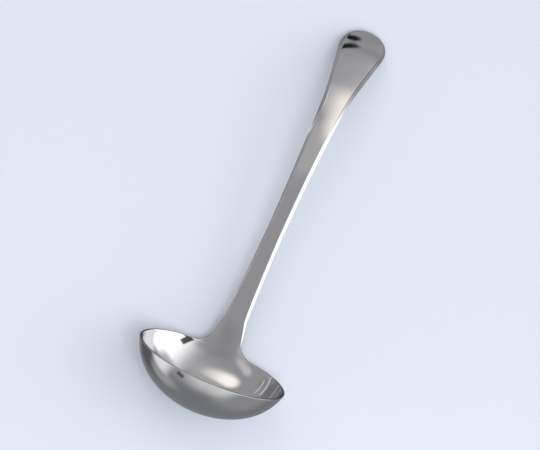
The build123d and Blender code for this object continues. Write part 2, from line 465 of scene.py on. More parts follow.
def make_piece(piece, face_sets):
    """Makes a closed mesh from the kept points: merges doubles, turns the faces outwards, and
    shades it smooth except at creases."""
    store = kept_points.pop(piece)
    points = lay_down(np.concatenate(store["points"])) * MM
    mesh = bpy.data.meshes.new(piece)
    mesh.from_pydata(points.tolist(), [], [face for faces in face_sets for face in faces.tolist()])
    lay = mesh.attributes.new("lay", "FLOAT2", "POINT")
    lay.data.foreach_set("vector", (np.concatenate(store["lay"]) * MM).astype(np.float32).ravel())
    edge = mesh.attributes.new("edge", "FLOAT", "POINT")
    edge.data.foreach_set("value", np.concatenate(store["edge"]).astype(np.float32))
    work = bmesh.new()
    work.from_mesh(mesh)
    bmesh.ops.remove_doubles(work, verts=work.verts, dist=DOUBLES)
    bmesh.ops.dissolve_degenerate(work, edges=work.edges, dist=NARROWEST)
    bmesh.ops.recalc_face_normals(work, faces=work.faces)
    open_edges = sum(not side.is_manifold for side in work.edges)
    work.to_mesh(mesh)
    work.free()
    mesh.polygons.foreach_set("use_smooth", np.ones(len(mesh.polygons), bool))
    mesh.set_sharp_from_angle(angle=np.radians(SHARP_ANGLE))
    made = bpy.data.objects.new(piece, mesh)
    bpy.context.scene.collection.objects.link(made)
    print(piece, len(mesh.vertices), "points,", len(mesh.polygons), "faces,", open_edges, "open")
    return made


print("a grid of 3 by 4 points has", len(quads(np.arange(12).reshape(3, 4))), "faces")

# %% [markdown]
# ## The bowl
#
# The bowl is pressed from one round blank, together with the stub of the neck. A Screw
# modifier turns a line into such a cup, but it can't let a neck grow out of it. So the grid is
# laid out: rings round the bottom of the bowl, and on top of the rearmost part of the last
# ring a second grid that narrows with the shoulders up to the weld. Inside and outside have
# the same grid, and the edge's profile joins the two all the way round.

# %% Columns and rows of the bowl
NECK_COLUMNS = 60
REST_COLUMNS = 250
BOWL_ROWS = 72
SPREAD_REACH = 10.0     # from the rim up to where the neck's back no longer spreads

shoulder_turn = np.arcsin(shoulder_side / (STRETCH_IN * rim_radius))
neck_turns = np.linspace(-shoulder_turn, shoulder_turn, NECK_COLUMNS + 1)
rest_turns = np.linspace(shoulder_turn, 2 * np.pi - shoulder_turn, REST_COLUMNS + 1)
ring_turns = np.concatenate([neck_turns, rest_turns[1:]])
neck_shares = np.sin(neck_turns) / np.sin(shoulder_turn)


def up_to_place(up):
    """The place along the side line at a height above the rim's plane."""
    return np.interp(up, line_up, places)


neck_place = up_to_place(neck_up)
neck_radial = np.clip(1 - (neck_place - RIM) / SPREAD_REACH, 0, 1)
neck_inset, neck_share = edge_profile(neck_place)
print("columns round the bowl:", len(ring_turns) - 1)


# %% The inside and the outside of the bowl
def blank_place(place, turn):
    """A place on the round blank, before it was pressed: its distance from the middle is the
    length along the wall."""
    return np.stack(np.broadcast_arrays(place * np.sin(turn), place * np.cos(turn)), -1)


def bowl_layer(piece, share, inset):
    """One side of the bowl: a pole, rings up to the inset below the rim, and the neck's rows,
    whose half width is the outline's, moved in by the inset. Returns numbers and faces."""
    ring_places = np.linspace(0, RIM - inset[0], BOWL_ROWS + 1)[1:, None]
    rings = bowl_point(ring_places, ring_turns, share)
    ring_numbers = add_points(piece, rings, blank_place(ring_places, ring_turns))
    pole = add_points(piece, bowl_point(np.zeros(1), np.zeros(1), share), np.zeros((1, 2)))
    side = neck_side[1:] + inset[1:] * inward[1:, 0]
    place = up_to_place(neck_up[1:] + inset[1:] * inward[1:, 1])[:, None]
    across = side[:, None] * neck_shares
    rows = blade_point(place, across, share, neck_radial[1:, None])
    neck_blank = np.stack(np.broadcast_arrays(across, place), -1)
    foot = ring_numbers[-1:, :NECK_COLUMNS + 1]
    neck_numbers = np.concatenate([foot, add_points(piece, rows, neck_blank)])
    middle = np.broadcast_to(pole, len(ring_turns) - 1)
    fan = np.stack([middle, ring_numbers[0, 1:], ring_numbers[0, :-1]], -1)
    return ring_numbers, neck_numbers, [fan, quads(ring_numbers), quads(neck_numbers)]


front_rings, front_neck, front_faces = bowl_layer("bowl_drawn", 0.0, neck_inset[:, 0])
back_rings, back_neck, back_faces = bowl_layer("bowl_drawn", 1.0, neck_inset[:, -1])
print("points on the inside of the bowl:", front_rings.size + front_neck.size)

# %% The bowl's edge and the end of its neck
RIM_WEAR = 0.35         # the edge value of the thin rim, where wear only begins
rim_inset, rim_share = edge_profile(np.array([RIM]))
between = slice(1, -1)  # the profile's points between its first and its last
rim_place = RIM - rim_inset[:, between]
rest = ring_turns[NECK_COLUMNS:, None]
rim_points = bowl_point(rim_place, rest, rim_share[:, between])
rim_numbers = add_points("bowl_drawn", rim_points, blank_place(rim_place, rest), RIM_WEAR)


def neck_edge(mirror):
    """The edge's points up one side of the neck: the outline moved in by the profile."""
    side = neck_side[1:, None] + neck_inset[1:, between] * inward[1:, :1]
    place = up_to_place(neck_up[1:, None] + neck_inset[1:, between] * inward[1:, 1:])
    points = blade_point(place, mirror * side, neck_share[1:, between], neck_radial[1:, None])
    return add_points("bowl_drawn", points, np.stack([mirror * side, place], -1), 1.0)


def round_the_rim(rings, neck):
    """A layer's outermost points: down one side of the neck, round the rim, up the other."""
    return np.concatenate([neck[:0:-1, -1], rings[-1, NECK_COLUMNS:], neck[1:, 0]])[:, None]


right_edge, left_edge = neck_edge(1), neck_edge(-1)
edge_middle = np.concatenate([right_edge[::-1], rim_numbers, left_edge])
edge_front, edge_back = round_the_rim(front_rings, front_neck), round_the_rim(back_rings, back_neck)
edge_faces = quads(np.concatenate([edge_front, edge_middle, edge_back], 1))
section = np.concatenate([front_neck[-1], right_edge[-1], back_neck[-1, ::-1], left_edge[-1, ::-1]])
bowl = make_piece("bowl_drawn", [*front_faces, *back_faces, edge_faces, section[None]])

# %% [markdown]
# ## The handle and the weld
#
# The handle is a forged bar with an almost flat front. A curve with a bevel object carries
# one section along, but here every section is another, so it is a stack of sections: across
# the front, over the edge, back across the back, and over the other edge. Along the arch of
# the tip the sections can't simply get narrower, because the bevel has to turn the corner. So
# each point is moved in from the arch along the arch's own square direction, and the last
# section, at the very tip, closes to a line. The weld is the short first stretch of the same
# stack, so it is as flush as a ground one.

# %% Rows along the outline
FRONT_COLUMNS = 28
ROW_STEP = 0.8
ARCH_ROWS = 44
ARCH_POWER = 2.25       # 2 is a plain ellipse


def outline_rows(start, end):
    """Runs along the outline from start to end, with its half width and its direction in."""
    count = int(np.ceil((end - start) / ROW_STEP)) + 1
    run = np.linspace(start, end, count)
    return run, half_width_at(run), np.tile([-1.0, 0.0], (count, 1))


def arch_rows():
    """The tip's arch is an ellipse with fuller shoulders: with the power p, its points are
    half = palm * cos(turn)**(2/p) and run = widest + arch * sin(turn)**(2/p). The direction
    in is square to it, along -(cos(turn)**(2-2/p) / palm, sin(turn)**(2-2/p) / arch)."""
    turn = np.linspace(0, np.pi / 2, ARCH_ROWS + 1)[1:]
    cosine, sine = np.clip(np.cos(turn), 0, 1), np.sin(turn)
    half, power = PALM_WIDTH / 2, 2 / ARCH_POWER
    outward = [cosine ** (2 - power) / half, sine ** (2 - power) / ARCH_LENGTH]
    square = -np.stack(outward, -1)
    square /= np.linalg.norm(square, axis=1, keepdims=True)
    return WIDEST + ARCH_LENGTH * sine**power, half * cosine**power, square


shaft, arch = outline_rows(NECK_RUN, WIDEST), arch_rows()
print("sections of the handle:", len(shaft[0]) + len(arch[0]))


# %% Sections of the weld and the handle
def stack_sections(piece, run, half, direction):
    """A ring of points for each row: front, right edge, back, left edge. Returns numbers."""
    inset, share = edge_profile(RIM + run)
    side = half[:, None] + inset * direction[:, :1]
    place = RIM + run[:, None] + inset * direction[:, 1:]
    across = np.linspace(-1, 1, FRONT_COLUMNS + 1)[1:-1]
    sides = [side[:, :1] * across, side, side[:, -1:] * across[::-1], -side[:, ::-1]]
    ends = [place[:, :1] + 0 * across, place, place[:, -1:] + 0 * across, place[:, ::-1]]
    shares = [0 * sides[0], share, 0 * sides[2] + 1, share[:, ::-1]]
    edges = [0 * sides[0], 1 + 0 * side, 0 * sides[2], 1 + 0 * side]
    sides, ends, shares, edges = (
        np.concatenate(part, 1) for part in (sides, ends, shares, edges)
    )
    points = blade_point(ends, sides, shares)
    return add_points(piece, points, np.stack([sides, ends], -1), edges)


def closed(rings):
    """The same rings with the first column again at the end, so that the grid closes."""
    return np.concatenate([rings, rings[:, :1]], 1)


weld_rings = stack_sections("weld_dressed", *outline_rows(NECK_RISE, NECK_RUN))
weld = make_piece("weld_dressed", [quads(closed(weld_rings)), weld_rings[:1], weld_rings[-1:]])

handle_rows = [np.concatenate(pair) for pair in zip(shaft, arch)]
handle_rings = stack_sections("handle_forged", *handle_rows)
handle = make_piece("handle_forged", [quads(closed(handle_rings)), handle_rings[:1]])

# %% [markdown]
# ## Node helpers
#
# A material in Blender is a small network. A few helpers keep the networks readable: one adds
# a node and fills or links its inputs by name, one opens a node group, which is a network
# with inputs and outputs of its own that several materials can share, and the others are the
# steps that come up again and again.

# %% Adding nodes and groups
def put(tree, kind, inputs=None, **settings):
    """Adds a node. An input given as another node's socket is linked, any other is set."""
    made = tree.nodes.new(kind)
    for name, value in settings.items():
        setattr(made, name, value)
    for name, value in (inputs or {}).items():
        if isinstance(value, bpy.types.NodeSocket):
            tree.links.new(value, made.inputs[name])
        else:
            made.inputs[name].default_value = value
    return made


def open_group(name, inputs, outputs):
    """Makes a node group with sockets of the given names and kinds, and its two end nodes."""
    group = bpy.data.node_groups.new(name, "ShaderNodeTree")
    for direction, sockets in (("INPUT", inputs), ("OUTPUT", outputs)):
        for label, kind in sockets.items():
            socket_type = "NodeSocket" + kind
            group.interface.new_socket(label, in_out=direction, socket_type=socket_type)
    inside = group.nodes.new("NodeGroupInput").outputs
    return group, inside, group.nodes.new("NodeGroupOutput").inputs


def place_group(tree, group, inputs):
    """Places a node group in a network, and gives its outputs."""
    return put(tree, "ShaderNodeGroup", inputs, node_tree=group).outputs


print("node groups before the first effect:", len(bpy.data.node_groups))


# %% Steps that come up again and again
def ramp(tree, value, start, end, low=0.0, high=1.0):
    """A soft step: as the value goes from start to end, the result goes from low to high."""
    inputs = {"Value": value, "From Min": start, "From Max": end, "To Min": low, "To Max": high}
    return put(tree, "ShaderNodeMapRange", inputs, interpolation_type="SMOOTHSTEP").outputs[0]


def blend(tree, share, first, second, how="MIX"):
    """Mixes two colours by a share from 0 to 1, or multiplies the first by the second."""
    inputs = {0: share, 6: first, 7: second}
    return put(tree, "ShaderNodeMix", inputs, data_type="RGBA", blend_type=how).outputs[2]


def work_out(tree, operation, *values):
    """One step of arithmetic on numbers or sockets."""
    return put(tree, "ShaderNodeMath", dict(enumerate(values)), operation=operation).outputs[0]


def on_vectors(tree, operation, *values):
    """One step on vectors. A dot product and a length come out as a number."""
    made = put(tree, "ShaderNodeVectorMath", dict(enumerate(values)), operation=operation)
    return made.outputs[1 if operation in ("DOT_PRODUCT", "LENGTH") else 0]


def noise(tree, place, scale, detail=2.0, **more):
    """Cloudy noise that changes so many times per metre: its value, and its colour."""
    inputs = {"Vector": place, "Scale": scale, "Detail": detail, **more}
    return put(tree, "ShaderNodeTexNoise", inputs).outputs


def new_material(name):
    """A material and its network."""
    material = bpy.data.materials.new(name)
    material.use_nodes = True
    return material, material.node_tree


print("pieces that wait for a finish:", bowl.name, weld.name, handle.name)


# %% [markdown]
# ## What a polished surface shows
#
# Stainless steel that was polished on a buffing wheel is nearly a mirror, but never a perfect
# one. Four things keep it real, and each is a node group that all three finishes share: fine
# lines left by the wheel, hairline scratches from use and washing, dull clouds where it was
# wiped, and edges that the wheel and the hand wore a little duller. They could be a picture
# wrapped round the part, but noise has no seams and stays sharp from any distance. The groups
# give only values, and the materials decide how much goes into colour, roughness and relief.

# %% Fine lines left by the polishing wheel
LINE_NOISE = (0.3, 0.7)     # noise values between which a line comes up
wheel_lines, inside, outside = open_group(
    "wheel lines", {"Place": "Vector", "Across": "Float", "Along": "Float"}, {"Lines": "Float"}
)
# The noise changes at another pace across than along, which stretches it into lines
paces = {"X": inside["Across"], "Y": inside["Along"]}
pace = put(wheel_lines, "ShaderNodeCombineXYZ", paces).outputs[0]
stretched = on_vectors(wheel_lines, "MULTIPLY", inside["Place"], pace)
grain = noise(wheel_lines, stretched, 1.0, detail=4.0, Roughness=0.6)[0]
wheel_lines.links.new(ramp(wheel_lines, grain, *LINE_NOISE), outside["Lines"])
print("group:", wheel_lines.name, "with", len(wheel_lines.nodes), "nodes")

# %% Hairline scratches
WANDER = 0.004          # metres by which a scratch strays from a straight line
WANDER_PACE = 30.0      # how often it does so per metre
LENGTHEN = 0.03         # the pace along a scratch, next to the pace across it
THIN_NOISE = 0.012      # how near its middle value the noise is a scratch
PATCH_PACE = 160.0      # how often per metre a patch with scratches comes
PATCH_NOISE = (0.5, 0.62)
hair_scratches, inside, outside = open_group(
    "hairline scratches",
    {"Place": "Vector", "Turn": "Float", "Density": "Float"},
    {"Scratches": "Float"},
)
stray = noise(hair_scratches, inside["Place"], WANDER_PACE)[1]
shifted = on_vectors(hair_scratches, "MULTIPLY_ADD", stray, (WANDER, WANDER, 0), inside["Place"])
turning = {"Vector": shifted, "Angle": inside["Turn"]}
turned = put(hair_scratches, "ShaderNodeVectorRotate", turning, rotation_type="Z_AXIS").outputs[0]
long_place = on_vectors(hair_scratches, "MULTIPLY", turned, (1.0, LENGTHEN, 1.0))
# A scratch runs where the noise crosses its middle value, and shows only in some patches
hills = noise(hair_scratches, long_place, inside["Density"], detail=1.0)[0]
crossing = work_out(hair_scratches, "ABSOLUTE", work_out(hair_scratches, "SUBTRACT", hills, 0.5))
thin = ramp(hair_scratches, crossing, THIN_NOISE, 0.0)
patchy = noise(hair_scratches, inside["Place"], PATCH_PACE)[0]
patches = ramp(hair_scratches, patchy, *PATCH_NOISE)
hair_scratches.links.new(work_out(hair_scratches, "MULTIPLY", thin, patches), outside["Scratches"])
print("group:", hair_scratches.name, "with", len(hair_scratches.nodes), "nodes")

# %% Dull clouds where it was wiped
CLOUD_NOISE = (0.35, 0.7)
WARM_TINT = (1.0, 0.99, 0.975, 1)
COOL_TINT = (0.975, 0.985, 1.0, 1)
wiped_clouds, inside, outside = open_group(
    "wiped clouds", {"Place": "Vector", "Size": "Float"}, {"Clouds": "Float", "Tint": "Color"}
)
soft = noise(wiped_clouds, inside["Place"], inside["Size"], detail=3.0, Distortion=0.8)[0]
wiped_clouds.links.new(ramp(wiped_clouds, soft, *CLOUD_NOISE), outside["Clouds"])
wiped_clouds.links.new(blend(wiped_clouds, soft, WARM_TINT, COOL_TINT), outside["Tint"])
print("group:", wiped_clouds.name, "with", len(wiped_clouds.nodes), "nodes")

# %% Worn edges
WEAR_PACE = 90.0        # how often per metre the wear comes and goes along an edge
WEAR_NOISE = (0.4, 0.65)
worn_edges, inside, outside = open_group(
    "worn edges", {"Edge": "Float", "Place": "Vector"}, {"Wear": "Float"}
)
on_edge = ramp(worn_edges, inside["Edge"], RIM_WEAR, 1.0)
spots = noise(worn_edges, inside["Place"], WEAR_PACE, detail=3.0)[0]
rubbed = ramp(worn_edges, spots, *WEAR_NOISE)
worn_edges.links.new(work_out(worn_edges, "MULTIPLY", on_edge, rubbed), outside["Wear"])
print("group:", worn_edges.name, "with", len(worn_edges.nodes), "nodes")

# %% [markdown]
# ## Three steel finishes
#
# Bowl, weld and handle are the same stainless steel, polished in three ways. The wheel goes
# round inside and outside the bowl, so its lines are rings. It runs along the handle, so there
# they are long and straight. The weld is dressed by hand across the neck and is a touch
# duller. The pattern could be laid in the air round the ladle, but then it would cut through
# the bends. So it follows the unrolled sheet, which every point of the meshes carries with it
# in the attribute called lay, and the lines bend with the metal.

# %% Where the wheel's lines run
def flat_place(tree):
    """The place on the unrolled sheet, in metres: across, and along from the bowl's bottom."""
    return put(tree, "ShaderNodeAttribute", attribute_name="lay").outputs["Vector"]


def ring_place(tree):
    """The same place as rings: distance from the bowl's bottom, and the way round it."""
    x, y, _ = put(tree, "ShaderNodeSeparateXYZ", {"Vector": flat_place(tree)}).outputs
    far = on_vectors(tree, "LENGTH", flat_place(tree))
    way = work_out(tree, "MULTIPLY", work_out(tree, "ARCTAN2", x, y), BOWL_REACH * MM)
    return put(tree, "ShaderNodeCombineXYZ", {"X": far, "Y": way}).outputs[0]


print("on the blank, the ring at the rim is", round(float(2 * np.pi * RIM)), "mm long")

# %% The finish itself
RUBBED_STEEL = (0.66, 0.66, 0.66, 1)
RUBBED_SHARE = 0.35     # how much of that colour a worn edge takes
TINT_SHARE = 0.5
SCRATCH_DENSITY = 900.0
CLOUD_SIZE = 45.0
CLOUDS_DULL = 0.025     # these three are added to the roughness
SCRATCHES_DULL = 0.06
WEAR_DULLS = 0.07
SCRATCH_DEPTH = 0.6     # next to the height of the wheel's lines
RELIEF = 0.000004       # metres that the wheel's lines are high
RELIEF_STRENGTH = 0.25


def polished_steel(name, colour, roughness, place_of, across, along, line_share, turn):
    """Steel with the wheel's lines, scratches, clouds and worn edges on a near mirror. The
    roughness is the plain one plus a share of each effect. The turn is the scratches' own."""
    material, tree = new_material(name)
    shader = tree.nodes["Principled BSDF"]
    flat = flat_place(tree)
    edge = put(tree, "ShaderNodeAttribute", attribute_name="edge").outputs["Fac"]
    line_inputs = {"Place": place_of(tree), "Across": across, "Along": along}
    lines = place_group(tree, wheel_lines, line_inputs)["Lines"]
    scratch_inputs = {"Place": flat, "Turn": turn, "Density": SCRATCH_DENSITY}
    scratches = place_group(tree, hair_scratches, scratch_inputs)["Scratches"]
    clouds = place_group(tree, wiped_clouds, {"Place": flat, "Size": CLOUD_SIZE})
    wear = place_group(tree, worn_edges, {"Place": flat, "Edge": edge})["Wear"]

    tinted = blend(tree, 1.0, colour, clouds["Tint"], "MULTIPLY")
    tinted = blend(tree, TINT_SHARE, colour, tinted)
    rubbed_share = work_out(tree, "MULTIPLY", wear, RUBBED_SHARE)
    tree.links.new(blend(tree, rubbed_share, tinted, RUBBED_STEEL), shader.inputs["Base Color"])
    shader.inputs["Metallic"].default_value = 1.0
    effects = (lines, line_share), (clouds["Clouds"], CLOUDS_DULL), (scratches, SCRATCHES_DULL)
    dull = roughness
    for effect, share in (*effects, (wear, WEAR_DULLS)):
        dull = work_out(tree, "MULTIPLY_ADD", effect, share, dull)
    tree.links.new(dull, shader.inputs["Roughness"])
    height = work_out(tree, "MULTIPLY_ADD", scratches, -SCRATCH_DEPTH, lines)
    relief_inputs = {"Height": height, "Strength": RELIEF_STRENGTH, "Distance": RELIEF}
    bump = put(tree, "ShaderNodeBump", relief_inputs)
    tree.links.new(bump.outputs[0], shader.inputs["Normal"])
    print(name, "has", len(tree.nodes), "nodes")
    return material


# %% Bowl, weld and handle get their finish
STEEL = (0.565, 0.56, 0.578, 1)
bowl_steel = polished_steel(
    "wheel_polished_bowl", STEEL, roughness=0.060,
    place_of=ring_place, across=3200.0, along=60.0, line_share=0.025, turn=0.9,
)
weld_steel = polished_steel(
    "hand_dressed_weld", STEEL, roughness=0.075,
    place_of=flat_place, across=900.0, along=4200.0, line_share=0.030, turn=0.3,
)
handle_steel = polished_steel(
    "long_polished_handle", STEEL, roughness=0.055,
    place_of=flat_place, across=4200.0, along=40.0, line_share=0.030, turn=0.25,
)
for piece, finish in ((bowl, bowl_steel), (weld, weld_steel), (handle, handle_steel)):
    piece.data.materials.append(finish)

# %% [markdown]
# ## The camera
#
# A ladle photographed for a catalogue is seen from far away through a long lens, so that the
# handle doesn't shrink towards its tip. The camera looks square at the front of the upright
# ladle, a little from above its rim, and the whole ladle leans to the right in the picture.
# It could be aimed by eye at the ladle as it lies, but such angles mean little. So its place
# is worked out with the rim level and then laid down with the ladle.

# %% Where the camera stands
CAMERA_RISE = 17.72     # degrees above the rim's plane
CAMERA_SWING = 3.38     # degrees towards the ladle's right
CAMERA_ROLL = 22.98     # degrees that the ladle leans to the right in the picture
CAMERA_DISTANCE = 9000.0
AIM = np.array([0.0, 60.0, 90.0])   # near the middle of the upright ladle
AIM_OFFSET = (-8.1, -8.3)           # from there, to the right and up in the picture

rise, swing, roll = np.radians([CAMERA_RISE, CAMERA_SWING, CAMERA_ROLL])
towards = np.array([np.sin(swing) * np.cos(rise), -np.cos(swing) * np.cos(rise), np.sin(rise)])
level_up = np.array([0, 0, 1]) - towards * towards[2]
level_up /= np.linalg.norm(level_up)
level_right = np.cross(level_up, towards)
camera_right = np.cos(roll) * level_right + np.sin(roll) * level_up
camera_up = np.cos(roll) * level_up - np.sin(roll) * level_right
camera_point = AIM + AIM_OFFSET[0] * camera_right + AIM_OFFSET[1] * camera_up
camera_point += CAMERA_DISTANCE * towards
origin = lay_down(np.zeros(3))
camera_axes = [lay_down(axis) - origin for axis in (camera_right, camera_up, towards)]
print("with the rim level, the camera looks from", [round(float(v), 3) for v in towards])

# %% The camera itself
PIXELS_PER_MM = 1.6081
PICTURE_WIDTH = 540
SENSOR_WIDTH = 36.0
FARTHEST = 40.0         # metres that the camera can see
camera_data = bpy.data.cameras.new("camera")
camera_data.sensor_width = SENSOR_WIDTH
# The lens that shows a millimetre of the ladle as so many pixels, from that far away
camera_data.lens = SENSOR_WIDTH * PIXELS_PER_MM * CAMERA_DISTANCE / PICTURE_WIDTH
camera_data.clip_end = FARTHEST
camera = bpy.data.objects.new("camera", camera_data)
camera.matrix_world = Matrix(np.array(camera_axes).T.tolist()).to_4x4()
camera.location = Vector(lay_down(camera_point) * MM)
bpy.context.scene.collection.objects.link(camera)
bpy.context.scene.camera = camera
print("lens", round(camera_data.lens), "mm, camera at", [round(v, 2) for v in camera.location])

# %% [markdown]
# ## The floor
#
# A plain pale sheet of paper, a little cool, lies under the ladle and takes its shadow. In a
# studio it curves up behind the object, but this ladle is looked at from all sides, so the
# sheet is flat and large enough to fill every picture. A mirror finish would show it as a
# bright band on the underside of the bowl, which the studio's own soft grey does better, so
# mirror rays pass through it. It belongs to the stage and isn't a piece of the ladle.

# %% Floor
FLOOR_HALF = 8000.0
PAPER_DARK = (0.66, 0.70, 0.80, 1)
PAPER_LIGHT = (0.68, 0.72, 0.82, 1)
PAPER_ROUGHNESS = 0.9
FIBRE_PACE = 900.0      # how often per metre the paper's shade changes


def flat_sheet(name, half_wide, half_high):
    """A rectangle round the origin, with its half sizes in millimetres."""
    signs = np.array([(-1, -1, 0), (1, -1, 0), (1, 1, 0), (-1, 1, 0)])
    mesh = bpy.data.meshes.new(name)
    mesh.from_pydata((signs * (half_wide, half_high, 0) * MM).tolist(), [], [(0, 1, 2, 3)])
    made = bpy.data.objects.new(name, mesh)
    bpy.context.scene.collection.objects.link(made)
    return made


floor = flat_sheet("floor", FLOOR_HALF, FLOOR_HALF)
floor.visible_glossy = False
floor_paper, paper = new_material("floor_paper")
fibre = noise(paper, put(paper, "ShaderNodeTexCoord").outputs["Object"], FIBRE_PACE)[0]
paper_shader = paper.nodes["Principled BSDF"].inputs
paper.links.new(blend(paper, fibre, PAPER_DARK, PAPER_LIGHT), paper_shader["Base Color"])
paper_shader["Roughness"].default_value = PAPER_ROUGHNESS
floor.data.materials.append(floor_paper)
print("floor", round(2 * FLOOR_HALF * MM), "m wide")

# %% [markdown]
# ## The studio
#
# Polished steel has hardly a colour of its own: what it shows is the room. A room of walls
# and lamps could be built, but every lamp would have to be moved by trial until the metal
# shows it in the right place. So the light is painted as the metal sees it, on the sky round
# the ladle. Two node groups do for nearly all of it, a round glow and a panel with four soft
# edges. Colours are greys, some a little warm or cool.

# %% Directions and greys
def sky(right, away):
    """Unit direction that leans from straight up, so many degrees to the right and so many
    towards the tip. The whole lean is hypot(right, away)."""
    tilt, heading = np.radians(np.hypot(right, away)), np.arctan2(away, right)
    level_part = np.sin(tilt)
    return Vector((level_part * np.cos(heading), level_part * np.sin(heading), np.cos(tilt)))


def level(right_of_tip, rise):
    """Unit direction by its angle to the right of the tip's direction, and its rise."""
    turn, lift = np.radians(right_of_tip), np.radians(rise)
    return Vector((np.sin(turn) * np.cos(lift), np.cos(turn) * np.cos(lift), np.sin(lift)))


def grey(value, warmth=0.0):
    """A grey, or a warm or cool one: red gains the warmth's share, and blue loses it one and
    a half times."""
    return value * (1 + warmth), value, value * (1 - 1.5 * warmth)


print("45 degrees from straight up to the right:", [round(v, 2) for v in sky(45, 0)])

# %% A round glow
glow, inside, outside = open_group(
    "studio glow",
    {"View": "Vector", "Towards": "Vector", "Inner": "Float", "Outer": "Float"},
    {"Share": "Float"},
)
# The angle between the view and the glow's middle decides how much of the glow is seen
facing = on_vectors(glow, "DOT_PRODUCT", inside["View"], inside["Towards"])
angle = work_out(glow, "ARCCOSINE", facing)
glow.links.new(ramp(glow, angle, inside["Outer"], inside["Inner"]), outside["Share"])
print("group:", glow.name, "with", len(glow.nodes), "nodes")

# %% A panel with soft edges
BARELY_AHEAD = 0.02     # cosine from which a view counts as turned towards the panel
panel, inside, outside = open_group(
    "studio panel",
    {"View": "Vector", "Towards": "Vector", "Across": "Vector",
     "Half Width": "Float", "Half Height": "Float", "Soft Edge": "Float"},
    {"Share": "Float"},
)
# The view meets the panel's plane so far across and so far up, as slopes
upright = on_vectors(panel, "CROSS_PRODUCT", inside["Towards"], inside["Across"])
ahead = on_vectors(panel, "DOT_PRODUCT", inside["View"], inside["Towards"])
front = work_out(panel, "MAXIMUM", ahead, BARELY_AHEAD)
share = work_out(panel, "GREATER_THAN", ahead, BARELY_AHEAD)
for axis, half in ((inside["Across"], inside["Half Width"]), (upright, inside["Half Height"])):
    slope = work_out(panel, "DIVIDE", on_vectors(panel, "DOT_PRODUCT", inside["View"], axis), front)
    limit = work_out(panel, "ADD", half, inside["Soft Edge"])
    seen = ramp(panel, work_out(panel, "ABSOLUTE", slope), limit, half)
    share = work_out(panel, "MULTIPLY", share, seen)
panel.links.new(share, outside["Share"])
print("group:", panel.name, "with", len(panel.nodes), "nodes")

# %% The bare room
# From straight down at 0 to straight up at 1
ROOM_GREYS = {0.0: 0.36, 0.2: 0.32, 0.4: 0.37, 0.5: 0.44, 0.65: 0.47, 1.0: 0.47}
ROOM_BLUE = 1.02        # how much more blue than red there is in them
world = bpy.data.worlds.new("studio")
bpy.context.scene.world = world
world.use_nodes = True
room = world.node_tree
view = put(room, "ShaderNodeTexCoord").outputs["Generated"]
height = put(room, "ShaderNodeSeparateXYZ", {"Vector": view}).outputs["Z"]
upwards = work_out(room, "MULTIPLY_ADD", height, 0.5, 0.5)
walls = put(room, "ShaderNodeValToRGB", {"Fac": upwards})
stops = walls.color_ramp.elements
for position in list(ROOM_GREYS)[1:-1]:
    stops.new(position)
for stop, value in zip(sorted(stops, key=lambda one: one.position), ROOM_GREYS.values()):
    stop.color = (value, value, value * ROOM_BLUE, 1)
print("greys of the room:", len(stops))

# %% [markdown]
# ## Painting the room
#
# A studio for tableware has a large white panel on one side, warm lamps on the other, and
# dark gaps between them. The bowl gathers all of it into a few centimetres, and the handle
# stretches a small part of it over its length. Each stroke is one glow or panel, laid over
# the ones before it, as in painting with thick colour, so the order counts. A picture of a
# real room would be richer, but nothing in it could be moved or dimmed by itself.

# %% Glows, panels, and the strokes overhead
def paint_glow(under, colour, towards, inner, outer):
    """Paints a round glow over what is under it. It is whole up to the inner angle from its
    middle, in degrees, and gone at the outer one."""
    inputs = {"View": view, "Towards": towards, "Inner": np.radians(inner),
              "Outer": np.radians(outer)}
    return blend(room, place_group(room, glow, inputs)[0], under, (*colour, 1))


def paint_panel(under, colour, towards, half_width, half_height, soft_edge):
    """Paints a panel, whose width lies level, over what is under it. Sizes are slopes, so 1
    reaches 45 degrees from its middle."""
    towards = Vector(towards).normalized()
    across = Vector((-towards.y, towards.x, 0)).normalized()
    inputs = {"View": view, "Towards": towards, "Across": across, "Half Width": half_width,
              "Half Height": half_height, "Soft Edge": soft_edge}
    return blend(room, place_group(room, panel, inputs)[0], under, (*colour, 1))


colour = paint_glow(walls.outputs["Color"], grey(0.40, -0.01), sky(0, -42), 6, 38)
colour = paint_glow(colour, grey(0.64), sky(0, 16), 0, 24)
colour = paint_glow(colour, grey(0.38, -0.02), sky(0, -18), 3, 13)
print("nodes of the room so far:", len(room.nodes))

# %% On the right
# The wide light, a greyer place overhead, the ground below, and the white panel
colour = paint_glow(colour, grey(1.75), sky(80, -12), 42, 80)
colour = paint_glow(colour, grey(0.45), sky(8, -25), 2, 19)
colour = paint_glow(colour, grey(0.28, -0.05), (0, 0, -1), 60, 95)
colour = paint_panel(colour, grey(2.1), level(85, 14), 0.50, 0.55, 0.14)
# Round the panel, a lamp, two dark gaps and two greyer places
colour = paint_glow(colour, grey(0.75), sky(47, 50), 8, 29)
colour = paint_panel(colour, grey(0.11), sky(32.5, -21), 0.13, 0.085, 0.03)
colour = paint_glow(colour, grey(0.17), level(38, 12), 6.5, 9.5)
colour = paint_glow(colour, grey(0.38), sky(62, 84), 20, 34)
colour = paint_glow(colour, grey(0.41), sky(73, -74), 12, 44)
print("nodes of the room so far:", len(room.nodes))

# %% Warm lamps on the left
colour = paint_glow(colour, grey(0.98, 0.03), sky(-38, 47), 3, 13)
colour = paint_glow(colour, grey(0.70, 0.01), sky(-9, 53), 5, 17)
colour = paint_glow(colour, grey(2.00, 0.02), level(-27, 34), 5, 13)
colour = paint_glow(colour, grey(0.78), sky(-23, -18), 2, 10)
colour = paint_glow(colour, grey(0.84), sky(-31, -13), 3, 12)
# The lamp that shows in the bowl
colour = paint_glow(colour, grey(1.64, 0.06), sky(-14.5, 15), 5, 17)
print("nodes of the room so far:", len(room.nodes))

